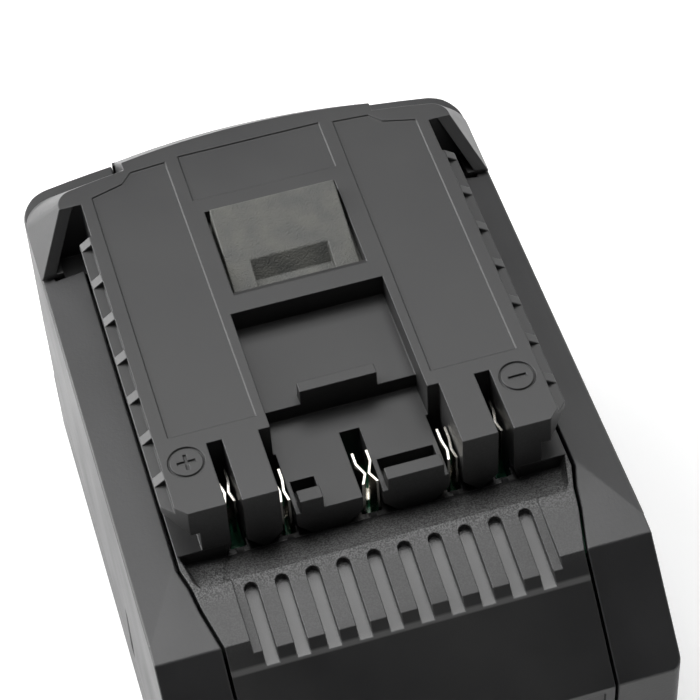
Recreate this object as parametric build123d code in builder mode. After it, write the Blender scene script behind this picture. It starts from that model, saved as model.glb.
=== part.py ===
from build123d import *
import os

os.makedirs("parts", exist_ok=True)

# Sizes in millimetres. x runs across the pack, y along it with the rear
# wall at +y, z up. The pack slides onto the tool with its -y end first.

# Shell
wall = 2.2
seat_play = 0.3
seam_gap = 0.45
case_spread = 0.4
seam_z = 13.0
seam_play = 0.05
side_room = 1.4
front_room = 4.5
rear_room = 3.0

# Rail plate, seen from its front end
plate_half = 28.5
rail_half = 30.2
rail_chamfer = 1.3
rail_edge = 1.1
rail_lip_half = 26.9
rail_lip_drop = 5.2
web_half = 25.6
floor_drop = 9.6
block_inset = 30.3
rail_length = 55.4
neck_half = 28.2

# Ratchet notches in the chamfered rail edge
notch_count = 7
notch_pitch = 7.8
first_notch = 6.9
notch_length = 6.1
notch_over = 1.3

# Shallow panels in the top of the plate, as (x, distance behind the block front)
side_panel = ((26.35, 13.95), (26.3, 63.1), (21.2, 64.5), (19.4, 66.5), (13.7, 66.9),
              (13.2, 13.95))
centre_panel_half = 11.5
centre_panel_start = 57.5
centre_panel_end = 67.4
plate_panel_depth = 0.25

# Terminal block
slot_length = 11.3
middle_slot_length = 12.2
slot_centres = (-20.15, -12.55, 0.0, 12.55, 20.15)
slot_widths = (2.3, 2.05, 3.0, 2.05, 2.3)
sill_depth = 1.0
sill_flare = 1.7
sill_flat = 0.5
bay_half = 11.8
bay_drop = 6.8
bay_length = 17.0
ledge_height = 2.6
ledge_depth = 2.2
ledge_near = 2.3
ledge_far = 10.8
ledge_left_near = 7.3
trough_depth = 3.6
trough_drop = 2.8
pocket_length = 16.5
pocket_drop = 4.1
tongue_half = 5.9
tongue_depth = 1.9
tongue_drop = 1.2

# Latch window and catch
window_offset = 38.5
window_length = 16.1
window_half = 10.4
window_bevel = 0.85
catch_gap = 0.5
catch_length = 14.1
catch_dip = 2.2
catch_rise = 2.0
catch_notch_half = 6.1
catch_notch_length = 4.7
catch_notch_depth = 1.0
latch_travel = 3.5

# Nose with the grip pad
valley_drop = 12.4
valley_half = 22.5
valley_flare = 3.5
valley_length = 5.5
pad_half = 22.9
pad_drop = 10.4
pad_length = 11.5
pad_fall = 2.0
pad_over_share = 1.5
groove_count = 10
groove_pitch = 4.56
groove_width = 2.0
groove_depth = 1.3
groove_start = 1.1
groove_reach_share = 1.6
edge_drop = 11.1
slope_run = 14.5
nose_level = 14.6
nose_inset = 0.7
tongue_half_width = 26.6
front_band = 7.0
front_panel_half = 25.1
front_panel_gap = 1.2
front_panel_depth = 0.4
lap = 2.0
lap_play = 0.1
# Steps of the parting line towards the nose: (inwards, in front of the block)
nose_steps = ((0.0, 2.0), (0.9, 5.4), (1.4, 9.1))

# Posts and flange under the cover
support_inset = 0.4
support_front = 8.7
support_rear = 3.7
flange_width = 1.7
flange_drop = 3.4

# Case plan
case_bow = 3.9
case_rear_corner = 6.0
front_corner = 1.6
shoulder_fall = 1.2
pan_edge = 2.4
lip = 1.0
lip_play = 0.1
lip_height = 2.0

# Rear cap
rail_gap = 6.9
cap_lean = 4.3
cap_side_lean = 5.1
cap_seat_drop = 0.8
cap_depth = 2.9
cap_bow = 3.4
cap_set_back = 1.9
cap_hollow = 5.0
cap_corner = 3.0
cap_foot_corner = 6.0
recess_drop = 1.5
recess_rim = 1.2
crown_half = 20.3
crown_depth = 6.6
crown_bow = 1.85
crown_drop = 9.25
crown_lap_start = 16.0

# Latch carrier, springs and release button
carrier_thickness = 3.6
carrier_half = 18.0
carrier_rear = 26.2
arm_half = 7.2
arm_thickness = 3.0
stem_drop = 21.4
stem_height = 4.0
stem_clear = 2.1
button_half = 13.0
button_over = 4.0
button_height = 14.0
button_rise = 3.7
button_socket = 1.2
button_corner = 2.0
button_groove = 0.8
button_groove_depth = 0.6
button_groove_pitch = 2.4
button_grooves = 3
guide_pin_r = 1.6
guide_play = 0.1
guide_x = 15.0
guide_offset = 3.2
spring_x = 12.4
spring_offset = 20.7
spring_coil_r = 2.6
spring_wire_r = 0.4
spring_turns = 4.5
spring_facets = 6
spring_seat = 4.65
spigot_r = 1.7
spigot_height = 1.8

# Cells
cell_r = 9.2
cell_length = 65.0
cell_pitch = 19.1
cell_row_y = -1.95
cell_columns = 5
cell_low_z = 12.7
cell_play = 0.15
cap_button_r = 4.2
cap_button_height = 0.9
crimp_offset = 4.0
crimp_depth = 0.6
crimp_width = 1.2

# Cell holders, strips and insulators
holder_wall = 0.8
holder_inner_x = 8.0
holder_set_back = 0.1
holder_corner = 5.0
strip_thickness = 0.2
strip_half = 4.0
strip_overlap = 5.0
tab_half = 2.5
tab_over = 0.6
insulator_thickness = 0.5
insulator_corner = 3.0
insulator_inset = 1.5
pan_floor = 2.5
foam_half = 7.0

# Circuit board and what it carries
post_height = 5.45
board_thickness = 1.6
board_room = 1.4
board_play = 0.3
board_front = 13.3
board_rear = 46.7
board_corner = 1.5
post_r = 3.0
post_x = 24.0
post_inset = 6.0
fork_starts = (4.2, 1.9, 1.2, 1.6, 4.2)
fork_sheet = 0.35
fork_height = 10.5
fork_foot = 1.2
fork_play = 0.25
fork_length = 5.8
fork_pinch = 0.12
fork_pinch_share = 0.3
fork_back_share = 0.65
thermistor_r = 1.5
thermistor_half = 2.2
lead_r = 0.3

# Screws
screw_r = 1.2
screw_play = 0.2
screw_head_r = 2.1
screw_head_height = 1.6
screw_sink = 2.4
case_screw_length = 22.0
front_screw_inset = 6.8
rear_screw_x = 14.0
boss_r = 2.3
boss_foot_r = 3.4
boss_foot_height = 4.5
boss_play = 0.25
boss_height = 13.5
board_screw_length = 4.5
board_head_height = 1.0

# Side recesses of the case
recess_foot_rise = 3.0
recess_height = 9.5
recess_foot_r = 1.4
recess_head_r = 0.8
recess_depth = 0.9
recess_offsets = (13.0, 71.7)

# Places that follow from the cells and their holders
cell_end = cell_length / 2
holder_low = pan_floor
holder_half = (cell_columns - 1) / 2 * cell_pitch + cell_r + cell_play + holder_wall
holder_high = cell_low_z + cell_pitch + cell_r + cell_play + holder_wall
holder_front_y = cell_row_y - holder_half
holder_rear_y = cell_row_y + holder_half
inner_half = cell_end + strip_thickness + insulator_thickness + side_room
case_half = inner_half + wall
front_y = holder_front_y - front_room - wall
case_corner_y = holder_rear_y + rear_room
rear_y = case_corner_y + case_bow
board_under = holder_high + post_height
board_top = board_under + board_thickness
nose_under = board_top + board_room

# Levels of the cover, from the plate down
plate_top = nose_under + nose_level
plate_under = plate_top - wall - seat_play
floor_z = plate_top - floor_drop
floor_under = floor_z - wall
flange_top = floor_z - flange_drop
cap_seat = floor_z - cap_seat_drop
bay_z = plate_top - bay_drop
pocket_z = plate_top - pocket_drop
valley_z = plate_top - valley_drop
pad_z = plate_top - pad_drop
edge_z = plate_top - edge_drop
slope_foot_z = edge_z - slope_run
tongue_z = seam_z + front_band
skin = wall / 2
web_inner = web_half - wall
nose_half = rail_half - nose_inset
flange_half = nose_half + flange_width
support_x = web_half + support_inset

# Places along the pack
block_y = front_y + block_inset
edge_y = front_y + slope_run
pad_y = block_y - valley_length
rail_end_y = block_y + rail_length
cap_y = rail_end_y + rail_gap
cap_edge_y = cap_y - cap_lean
cap_side_y = cap_y + cap_depth
cap_foot_y = case_corner_y - cap_set_back
cap_half_top = case_half - cap_side_lean
crown_y = cap_y + crown_depth
crown_foot_y = rear_y - crown_bow
window_y = block_y + window_offset
bay_rear_y = block_y + bay_length
pocket_rear_y = bay_rear_y + pocket_length
block_rear_y = block_y + middle_slot_length + wall
support_ys = (block_y + support_front, rail_end_y - support_rear)
board_half = cell_end - board_play
board_front_y = block_y - board_front
board_rear_y = block_y + board_rear
board_screw_ys = (board_front_y + post_inset, board_rear_y - post_inset)

# Latch
catch_y = window_y + catch_gap
catch_half = window_half - catch_gap
catch_rear_y = catch_y + catch_length
carrier_top = plate_under - seat_play
carrier_under = carrier_top - carrier_thickness
carrier_front_y = pocket_rear_y + wall + seat_play
carrier_rear_y = window_y + carrier_rear
guide_y = window_y + guide_offset
spring_y = window_y + spring_offset
spring_foot = holder_high + spring_seat
stem_top = plate_top - stem_drop
stem_low = stem_top - stem_height
stem_knee_y = rear_y - wall - stem_clear
stem_end_y = rear_y + seat_play + button_socket
button_top = stem_top + button_over
button_foot = button_top - button_height
button_face_y = rear_y + button_rise
skirt_z = button_foot - latch_travel - wall

# Screw places
front_screw_x = case_half - front_screw_inset
boss_front_y = holder_front_y - boss_r - boss_play
boss_rear_y = holder_rear_y + boss_r + boss_play
boss_top = seam_z + boss_height
case_screw_spots = (
    (-front_screw_x, boss_front_y),
    (front_screw_x, boss_front_y),
    (-rear_screw_x, boss_rear_y),
    (rear_screw_x, boss_rear_y),
)


def both_sides(half):
    """Closed outline from its +x half, listed from one end to the other."""
    return half + [(-x, v) for x, v in reversed(half)]


def across(points, y0, y1, mode=Mode.ADD):
    """Solid over an (x, z) outline, from y0 to y1."""
    with BuildSketch(Plane.XZ.offset(-y1)) as outline:
        with BuildLine():
            Polyline(points, close=True)
        make_face()
    extrude(outline.sketch, amount=y1 - y0, mode=mode)


def along(points, x0, x1, mode=Mode.ADD):
    """Solid over a (y, z) outline, from x0 to x1."""
    with BuildSketch(Plane.YZ.offset(x0)) as outline:
        with BuildLine():
            Polyline(points, close=True)
        make_face()
    extrude(outline.sketch, amount=x1 - x0, mode=mode)


def upright(points, z0, z1, mode=Mode.ADD):
    """Solid over an (x, y) outline, from z0 to z1."""
    with BuildSketch(Plane.XY.offset(z0)) as outline:
        with BuildLine():
            Polyline(points, close=True)
        make_face()
    extrude(outline.sketch, amount=z1 - z0, mode=mode)


def block(x0, x1, y0, y1, z0, z1, mode=Mode.ADD):
    """Rectangular solid or cut between two opposite corners."""
    upright([(x0, y0), (x1, y0), (x1, y1), (x0, y1)], z0, z1, mode)


def rod(x, y, z0, z1, radius, mode=Mode.ADD):
    """Upright round solid or hole."""
    with BuildSketch(Plane.XY.offset(z0)) as outline:
        with Locations((x, y)):
            Circle(radius)
    extrude(outline.sketch, amount=z1 - z0, mode=mode)


def bowed_outline(level, half, y0, corner_y, bow, corner):
    """Face at a level with straight sides and a bowed rear edge."""
    with BuildSketch(Plane.XY.offset(level)) as outline:
        with BuildLine():
            Polyline((half, corner_y), (half, y0), (-half, y0), (-half, corner_y))
            ThreePointArc((-half, corner_y), (0, corner_y + bow), (half, corner_y))
        make_face()
        if corner:
            fillet(outline.vertices().group_by(Axis.Y)[-1], corner)
    return outline.sketch


def bowed_loft(low, high, mode=Mode.ADD):
    """Solid that runs from one bowed outline up to another."""
    loft([low, high], mode=mode)


def case_outline(level, inset):
    """Plan of the case at a level, moved inwards by an inset."""
    drop_share = (floor_z - level) / (floor_z - seam_z)
    half = case_half + case_spread * drop_share - inset
    front = front_y + inset
    rear = case_corner_y - inset
    with BuildSketch(Plane.XY.offset(level)) as outline:
        with BuildLine():
            Polyline((half, rear), (half, front), (-half, front), (-half, rear))
            ThreePointArc((-half, rear), (0, rear + case_bow), (half, rear))
        make_face()
        fillet(outline.vertices().group_by(Axis.Y)[-1], case_rear_corner - inset)
        fillet(outline.vertices().group_by(Axis.Y)[0], front_corner)
    return outline.sketch


# top_cover: rail plate, terminal block, nose and rear cap in one moulding
# Side view of the nose sheet: tongue, 45 degree face, floor
nose_outside = [
    (front_y, tongue_z),
    (front_y, slope_foot_z),
    (edge_y, edge_z),
    (block_y, floor_z),
    (cap_edge_y, floor_z),
]
nose_inside = [
    (cap_edge_y, floor_under),
    (block_rear_y, floor_under),
    (block_rear_y, nose_under),
    (edge_y - skin, nose_under),
    (front_y + wall, slope_foot_z - skin),
    (front_y + wall, tongue_z),
]
# Plan view of the cover between the shoulders; it narrows towards the nose
nose_plan_half = [(nose_half, cap_edge_y)]
nose_plan_half += [(nose_half - inwards, block_y - ahead) for inwards, ahead in nose_steps]
nose_plan_half += [(tongue_half_width, edge_y), (tongue_half_width, front_y)]
rail_profile_half = [
    (plate_half, plate_top),
    (rail_half, plate_top - rail_chamfer),
    (rail_half, plate_top - rail_chamfer - rail_edge),
    (rail_lip_half, plate_top - rail_lip_drop),
    (web_half, plate_top - rail_lip_drop),
    (web_half, floor_under),
]

# Flange behind the rear wall of the case, on both sides of the crown
with BuildPart() as skirt_lap:
    extrude(case_outline(skirt_z, wall + lap_play), amount=cap_seat - skirt_z)
    extrude(case_outline(skirt_z, wall + lap_play + lip), amount=cap_seat - skirt_z,
            mode=Mode.SUBTRACT)
    block(-crown_half - lap, crown_half + lap, cap_y, rear_y, skirt_z, cap_seat,
          mode=Mode.INTERSECT)
    block(-crown_lap_start, crown_lap_start, cap_y, rear_y, skirt_z, cap_seat,
          mode=Mode.SUBTRACT)

# Hollow in front of the block, with sloping sides
with BuildPart() as valley:
    along([(block_y, valley_z), (pad_y, pad_z), (pad_y, floor_z + wall),
           (block_y, floor_z + wall)], -case_half, case_half)
    across([(-valley_half, valley_z), (valley_half, valley_z),
            (valley_half + valley_flare, floor_z + wall),
            (-valley_half - valley_flare, floor_z + wall)], pad_y, block_y,
           mode=Mode.INTERSECT)

with BuildPart() as top_cover:
    # Nose, floor between the shoulders and the rail plate
    along(nose_outside + nose_inside, -nose_half, nose_half)
    upright(both_sides(nose_plan_half), tongue_z, floor_z, mode=Mode.INTERSECT)
    across(both_sides(rail_profile_half), block_y, rail_end_y)
    block(-neck_half, neck_half, rail_end_y, cap_y + wall, floor_under, plate_top)

    # Rear cap over the full width, its raised crown and the skirt
    bowed_loft(
        bowed_outline(cap_seat, case_half, cap_edge_y, cap_foot_y, cap_bow, cap_foot_corner),
        bowed_outline(plate_top, cap_half_top, cap_edge_y, cap_side_y, cap_bow, cap_corner),
    )
    bowed_loft(
        bowed_outline(plate_top - crown_drop, crown_half, cap_y, crown_foot_y, crown_bow, 0),
        bowed_outline(plate_top, crown_half, cap_y, crown_y, crown_bow, 0),
    )
    crown_foot = bowed_outline(skirt_z, crown_half, cap_y, crown_foot_y, crown_bow, 0)
    extrude(crown_foot, amount=plate_top - crown_drop - skirt_z)

    # Recess floors beside the neck, with the falling outer wall
    for side in (-1, 1):
        x0, x1 = sorted((side * neck_half, side * case_half))
        along([(rail_end_y, floor_z), (cap_edge_y, floor_z), (cap_y, plate_top),
               (cap_y, plate_top + wall), (rail_end_y, plate_top + wall)],
              x0, x1, mode=Mode.SUBTRACT)
        recess = [(side * neck_half, floor_z), (side * (inner_half - seat_play), floor_z),
                  (side * (cap_half_top - wall), plate_top), (side * neck_half, plate_top)]
        across(recess, cap_edge_y, cap_y, mode=Mode.SUBTRACT)
        x0, x1 = sorted((side * web_half, side * (inner_half - seat_play)))
        block(x0, x1, cap_edge_y, cap_y + wall, floor_under - recess_drop, floor_z)
        x0, x1 = sorted((side * neck_half, side * (inner_half - seat_play - recess_rim)))
        block(x0, x1, cap_edge_y, cap_y, floor_z - recess_drop, floor_z, mode=Mode.SUBTRACT)

    # Hollow of the cap, crown and skirt
    bowed_loft(
        bowed_outline(cap_seat, case_half - wall, cap_y + wall,
                      cap_foot_y - wall, cap_bow, cap_foot_corner),
        bowed_outline(cap_seat + cap_hollow, cap_half_top - skin, cap_y + wall,
                      cap_foot_y - cap_hollow - wall, cap_bow, cap_corner),
        mode=Mode.SUBTRACT,
    )
    bowed_loft(
        bowed_outline(plate_top - crown_drop, crown_half - wall, cap_y + wall,
                      crown_foot_y - wall, crown_bow, 0),
        bowed_outline(plate_top - wall, crown_half - wall, cap_y + wall,
                      crown_y - skin, crown_bow, 0),
        mode=Mode.SUBTRACT,
    )
    skirt_hollow = bowed_outline(skirt_z, crown_half, cap_y - wall, crown_foot_y - wall,
                                 crown_bow, 0)
    extrude(skirt_hollow, amount=floor_under - recess_drop - skirt_z, mode=Mode.SUBTRACT)
    skirt_hollow = bowed_outline(floor_under - recess_drop, crown_half - wall, cap_y - wall,
                                 crown_foot_y - wall, crown_bow, 0)
    extrude(skirt_hollow, amount=plate_top - crown_drop - floor_under + recess_drop,
            mode=Mode.SUBTRACT)
    # Flanges that lap behind the walls of the case
    add(skirt_lap.part)
    for side in (-1, 1):
        x0, x1 = sorted((side * (tongue_half_width - lap), side * tongue_half_width))
        block(x0, x1, front_y + wall, front_y + wall + lap_play + lip, boss_top + seat_play,
              slope_foot_z - wall)
        x0, x1 = sorted((side * (tongue_half_width - lap), side * (tongue_half_width + lap)))
        block(x0, x1, front_y + wall + lap_play, front_y + wall + lap_play + lip,
              boss_top + seat_play, slope_foot_z - wall)

    # Hollow under the rail plate
    block(-web_inner, web_inner, block_rear_y, cap_y + 2 * wall, floor_under,
          plate_top - wall, mode=Mode.SUBTRACT)

    # Tubs that close the bay and the stop pocket from below
    tub_half = bay_half + wall
    block(-tub_half, tub_half, block_rear_y - wall, bay_rear_y + wall, bay_z - wall, plate_top)
    block(-tub_half, tub_half, bay_rear_y, pocket_rear_y + wall, pocket_z - wall, plate_top)
    # Posts that stand on the cell holders and pins that guide the latch
    for side in (-1, 1):
        for y in support_ys:
            rod(side * support_x, y, holder_high, floor_z, post_r)
        rod(side * guide_x, guide_y, carrier_under - latch_travel - wall,
            plate_top - wall, guide_pin_r)
        # Flange that hooks under the shoulder of the case
        x0, x1 = sorted((side * (nose_half - wall), side * flange_half))
        block(x0, x1, block_y, rail_end_y, flange_top - skin, flange_top)
        x0, x1 = sorted((side * (nose_half - wall), side * nose_half))
        block(x0, x1, block_y, rail_end_y, flange_top, floor_z)

    # Bay with its ledges and trough, stop pocket with its tongue
    across([(-bay_half, bay_z), (bay_half, bay_z), (bay_half, plate_top),
            (-bay_half, plate_top)], block_y, bay_rear_y, mode=Mode.SUBTRACT)
    block(-bay_half, bay_half, bay_rear_y, pocket_rear_y, pocket_z, plate_top,
          mode=Mode.SUBTRACT)
    ledge_z = bay_z + ledge_height
    for x0, x1 in ((-ledge_far, -ledge_left_near), (ledge_near, ledge_far)):
        block(x0, x1, block_y, block_y + ledge_depth, bay_z, ledge_z)
        block(x0, x1, block_y + ledge_depth, block_y + ledge_depth + trough_depth,
              bay_z - trough_drop, bay_z, mode=Mode.SUBTRACT)
    along([(bay_rear_y, bay_z), (bay_rear_y + tongue_depth, bay_z),
           (bay_rear_y + tongue_depth, plate_top - tongue_drop),
           (bay_rear_y, plate_top - tongue_drop)], -tongue_half, tongue_half)

    # Latch window
    block(-window_half, window_half, window_y, window_y + window_length,
          plate_top - 2 * wall, plate_top, mode=Mode.SUBTRACT)
    along([(window_y - window_bevel, plate_top), (window_y, plate_top - wall),
           (window_y, plate_top)], -window_half, window_half, mode=Mode.SUBTRACT)

    # Five terminal slots, open to the board behind a low flared sill
    for centre, width in zip(slot_centres, slot_widths):
        length = slot_length if centre else middle_slot_length
        block(centre - width / 2, centre + width / 2, block_y, block_y + length,
              nose_under - wall, plate_top, mode=Mode.SUBTRACT)
        across([(centre - width / 2, nose_under), (centre + width / 2, nose_under),
                (centre + width / 2, valley_z + sill_flare), (centre + sill_flat, valley_z),
                (centre - sill_flat, valley_z), (centre - width / 2, valley_z + sill_flare)],
               block_y, block_y + sill_depth)

    # Ratchet notches in both rail edges
    for k in range(notch_count):
        y = block_y + first_notch + k * notch_pitch
        for side in (-1, 1):
            x0, x1 = sorted((side * plate_half, side * (rail_half + notch_over)))
            block(x0, x1, y - notch_length, y, plate_top - rail_chamfer, plate_top,
                  mode=Mode.SUBTRACT)

    # Shallow panels in the top of the plate
    panel_floor = plate_top - plate_panel_depth
    for side in (-1, 1):
        upright([(side * x, block_y + y) for x, y in side_panel], panel_floor, plate_top,
                mode=Mode.SUBTRACT)
    block(-centre_panel_half, centre_panel_half, block_y + centre_panel_start,
          block_y + centre_panel_end, panel_floor, plate_top, mode=Mode.SUBTRACT)

    # Bevelled front corners of the rail
    for side in (-1, 1):
        upright([(side * rail_lip_half, block_y), (side * rail_half, block_y),
                 (side * rail_half, block_y + rail_half - rail_lip_half)],
                plate_top - rail_lip_drop, plate_top, mode=Mode.SUBTRACT)

    # Valley in front of the block, then the ramp of the grip pad
    add(valley.part, mode=Mode.SUBTRACT)
    pad_low = pad_z - pad_fall * pad_over_share
    pad_front = pad_y - pad_length * pad_over_share
    along([(pad_y, pad_z), (pad_front, pad_low), (pad_front, floor_z + wall),
           (pad_y, floor_z + wall)], -pad_half, pad_half, mode=Mode.SUBTRACT)
    ramp = Plane((0, pad_y, pad_z), x_dir=(1, 0, 0), z_dir=(0, -pad_fall, pad_length))
    groove_reach = pad_length * groove_reach_share
    with BuildSketch(ramp.offset(-groove_depth)) as grooves:
        with Locations((0, -groove_start - groove_reach / 2)):
            with GridLocations(groove_pitch, groove_reach, groove_count, 1):
                SlotOverall(groove_reach, groove_width, rotation=90)
    extrude(grooves.sketch, amount=groove_depth + wall, mode=Mode.SUBTRACT)

    # Plain recessed panel on the front tongue
    block(-front_panel_half, front_panel_half, front_y, front_y + front_panel_depth, tongue_z,
          slope_foot_z - front_panel_gap, mode=Mode.SUBTRACT)

    # Opening for the stem of the release button
    block(-arm_half - seat_play, arm_half + seat_play, crown_y, rear_y,
          stem_low - latch_travel - seat_play, stem_top + seat_play, mode=Mode.SUBTRACT)

top_cover.part.label = "top_cover"
export_step(top_cover.part, "parts/top_cover.step")


# body_case: side walls, shoulders, front corners and rear wall
with BuildPart() as case_hollow:
    loft([case_outline(seam_z, wall), case_outline(flange_top, wall)])
    # The inside follows the 45 degree front
    along([(edge_y - skin, flange_top), (front_y + wall, slope_foot_z - skin),
           (front_y, slope_foot_z - skin), (front_y, flange_top)],
          -case_half, case_half, mode=Mode.SUBTRACT)

with BuildPart() as rear_opening:
    loft([case_outline(flange_top, wall), case_outline(floor_z, wall)])
    block(-case_half, case_half, front_y, cap_edge_y - seam_gap, flange_top, floor_z,
          mode=Mode.SUBTRACT)

with BuildPart() as body_case:
    loft([case_outline(seam_z + seam_play, 0), case_outline(floor_z, 0)])
    # Falling shoulders, front edge and 45 degree front corners
    shoulder_half = nose_half + seam_gap
    for side in (-1, 1):
        across([(side * shoulder_half, floor_z), (side * case_half, floor_z - shoulder_fall),
                (side * (case_half + wall), floor_z - shoulder_fall),
                (side * (case_half + wall), floor_z + wall), (side * shoulder_half, floor_z + wall)],
               front_y, rear_y, mode=Mode.SUBTRACT)
    along([(block_y, floor_z), (edge_y, edge_z), (front_y, slope_foot_z),
           (front_y - wall, slope_foot_z - wall), (front_y - wall, floor_z + wall),
           (block_y, floor_z + wall)], -case_half - wall, case_half + wall, mode=Mode.SUBTRACT)
    add(case_hollow.part, mode=Mode.SUBTRACT)
    add(rear_opening.part, mode=Mode.SUBTRACT)
    # Opening for the cover, rim under the cap and notch for the skirt
    opening_half = [(x + seam_gap, y) for x, y in nose_plan_half[:-1]]
    opening_half += [(tongue_half_width + seam_gap, front_y - wall)]
    upright(both_sides(opening_half), tongue_z, floor_z + wall, mode=Mode.SUBTRACT)
    block(-case_half - wall, case_half + wall, cap_edge_y - seam_gap, rear_y + wall,
          cap_seat, floor_z + wall, mode=Mode.SUBTRACT)
    block(-crown_half - seam_gap, crown_half + seam_gap, cap_y + wall, rear_y + wall,
          skirt_z, floor_z, mode=Mode.SUBTRACT)
    # Screw bosses that hang from the end walls
    for x, y in case_screw_spots:
        rod(x, y, seam_z + seam_play, boss_top, boss_r)
        rod(x, y, seam_z, screw_sink + case_screw_length, screw_r, mode=Mode.SUBTRACT)
    # Drop-shaped recesses low on both sides
    for side in (-1, 1):
        for offset in recess_offsets:
            drop_z = seam_z + recess_foot_rise
            with BuildSketch(Plane.YZ.offset(side * (case_half + case_spread))) as drop:
                with Locations((block_y + offset, drop_z)):
                    Circle(recess_foot_r)
                with Locations((block_y + offset, drop_z + recess_height)):
                    Circle(recess_head_r)
                make_hull()
            extrude(drop.sketch, amount=recess_depth, both=True, mode=Mode.SUBTRACT)
body_case.part.label = "body_case"
export_step(body_case.part, "parts/body_case.step")

# base_pan: closes the case from below and carries the cell holders
with BuildPart() as pan_lip:
    extrude(case_outline(seam_z, wall + lip_play), amount=lip_height)
    extrude(case_outline(seam_z, skin), amount=-lip_height)
    extrude(case_outline(seam_z, wall + lip_play + lip), amount=lip_height, both=True,
            mode=Mode.SUBTRACT)
    for x, y in case_screw_spots:
        rod(x, y, seam_z, seam_z + lip_height, boss_r + seat_play, mode=Mode.SUBTRACT)

with BuildPart() as base_pan:
    extrude(case_outline(seam_z, 0), amount=-seam_z)
    fillet(base_pan.faces().sort_by(Axis.Z)[0].edges(), pan_edge)
    extrude(case_outline(seam_z, wall), amount=pan_floor - seam_z, mode=Mode.SUBTRACT)
    add(pan_lip.part)
    for x, y in case_screw_spots:
        rod(x, y, pan_floor, boss_foot_height, boss_foot_r)
        rod(x, y, pan_floor, seam_z, boss_r)
        rod(x, y, 0, seam_z, screw_r + screw_play, mode=Mode.SUBTRACT)
        rod(x, y, 0, screw_sink, screw_head_r + screw_play, mode=Mode.SUBTRACT)
base_pan.part.label = "base_pan"
export_step(base_pan.part, "parts/base_pan.step")

# Latch: catch with its carrier, release button and two springs
with BuildPart() as latch_catch:
    block(-carrier_half, carrier_half, carrier_front_y, carrier_rear_y, carrier_under, carrier_top)
    along([(catch_y, carrier_under), (catch_y, plate_top - catch_dip),
           (catch_rear_y, plate_top + catch_rise), (catch_rear_y, carrier_under)],
          -catch_half, catch_half)
    # Finger notch in its low end, with a sloping far wall
    notch_floor = plate_top - catch_dip - catch_notch_depth
    notch_far_y = catch_y + catch_notch_length
    notch_far_z = plate_top - catch_dip
    notch_far_z += (catch_dip + catch_rise) * catch_notch_length / catch_length
    along([(catch_y, notch_floor), (catch_y + catch_notch_length / 2, notch_floor),
           (notch_far_y, notch_far_z), (notch_far_y, plate_top + catch_rise),
           (catch_y, plate_top + catch_rise)],
          -catch_notch_half, catch_notch_half, mode=Mode.SUBTRACT)
    # Arm that steps down to the stem behind the crown
    along([(carrier_rear_y - arm_thickness, carrier_top), (carrier_rear_y, carrier_top),
           (stem_knee_y, stem_top), (stem_end_y, stem_top), (stem_end_y, stem_low),
           (stem_knee_y - arm_thickness, stem_low),
           (carrier_rear_y - arm_thickness, carrier_under)], -arm_half, arm_half)
    for side in (-1, 1):
        rod(side * guide_x, guide_y, carrier_under, carrier_top, guide_pin_r + guide_play,
            mode=Mode.SUBTRACT)
        rod(side * spring_x, spring_y, carrier_under - spigot_height, carrier_under, spigot_r)
latch_catch.part.label = "latch_catch"
export_step(latch_catch.part, "parts/latch_catch.step")

with BuildPart() as release_button:
    extrude(bowed_outline(button_foot, crown_half, cap_y, button_face_y - crown_bow, crown_bow, 0),
            amount=button_height)
    extrude(bowed_outline(button_foot, crown_half, cap_y - wall, crown_foot_y + seat_play,
                          crown_bow, 0),
            amount=button_height, mode=Mode.SUBTRACT)
    with BuildSketch(Plane.XZ.offset(-button_face_y)) as button_front:
        with Locations((0, button_top - button_height / 2)):
            RectangleRounded(2 * button_half, button_height, button_corner)
    extrude(button_front.sketch, amount=button_face_y - cap_y, mode=Mode.INTERSECT)
    # Finger grooves and the socket that takes the stem
    for k in range(button_grooves):
        z = button_foot + button_corner + k * button_groove_pitch
        block(-button_half, button_half, button_face_y - crown_bow / 2 - button_groove_depth,
              button_face_y, z, z + button_groove, mode=Mode.SUBTRACT)
    block(-arm_half, arm_half, crown_foot_y, stem_end_y, stem_low, stem_top,
          mode=Mode.SUBTRACT)
release_button.part.label = "release_button"
export_step(release_button.part, "parts/release_button.step")

spring_top = carrier_under
spring_height = spring_top - spring_foot
spring_rise = spring_height - 2 * spring_wire_r
for side, name in ((-1, "latch_spring_left"), (1, "latch_spring_right")):
    with BuildPart() as spring:
        with BuildLine():
            coil = Helix(spring_rise / spring_turns, spring_rise, spring_coil_r,
                         center=(side * spring_x, spring_y, spring_foot + spring_wire_r))
        with BuildSketch(Plane(coil @ 0, z_dir=coil % 0)):
            RegularPolygon(spring_wire_r, spring_facets)
        sweep()
    spring.part.label = name
    export_step(spring.part, f"parts/{name}.step")
least_gap = (spring_rise - latch_travel) / spring_turns - 2 * spring_wire_r
print("least gap between spring turns, pressed:", round(least_gap, 2), "mm")

# Cells in five columns and two layers, lying across the pack
for column in range(cell_columns):
    y = cell_row_y + (column - (cell_columns - 1) / 2) * cell_pitch
    turn = 1 if column % 2 else -1
    for layer in range(2):
        z = cell_low_z + layer * cell_pitch
        can_end = cell_end - cap_button_height
        neck = can_end - crimp_offset
        with BuildPart() as cell:
            with BuildSketch(Plane.XY.offset(z)) as half_section:
                with BuildLine():
                    Polyline((-turn * cell_end, y), (-turn * cell_end, y + cell_r),
                             (turn * neck, y + cell_r),
                             (turn * (neck + crimp_width / 2), y + cell_r - crimp_depth),
                             (turn * (neck + crimp_width), y + cell_r),
                             (turn * can_end, y + cell_r), (turn * can_end, y + cap_button_r),
                             (turn * cell_end, y + cap_button_r), (turn * cell_end, y),
                             close=True)
                make_face()
            revolve(half_section.sketch, axis=Axis((0, y, z), (1, 0, 0)))
        name = f"cell_{column + 1}_{'low' if layer == 0 else 'high'}"
        cell.part.label = name
        export_step(cell.part, f"parts/{name}.step")

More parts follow.
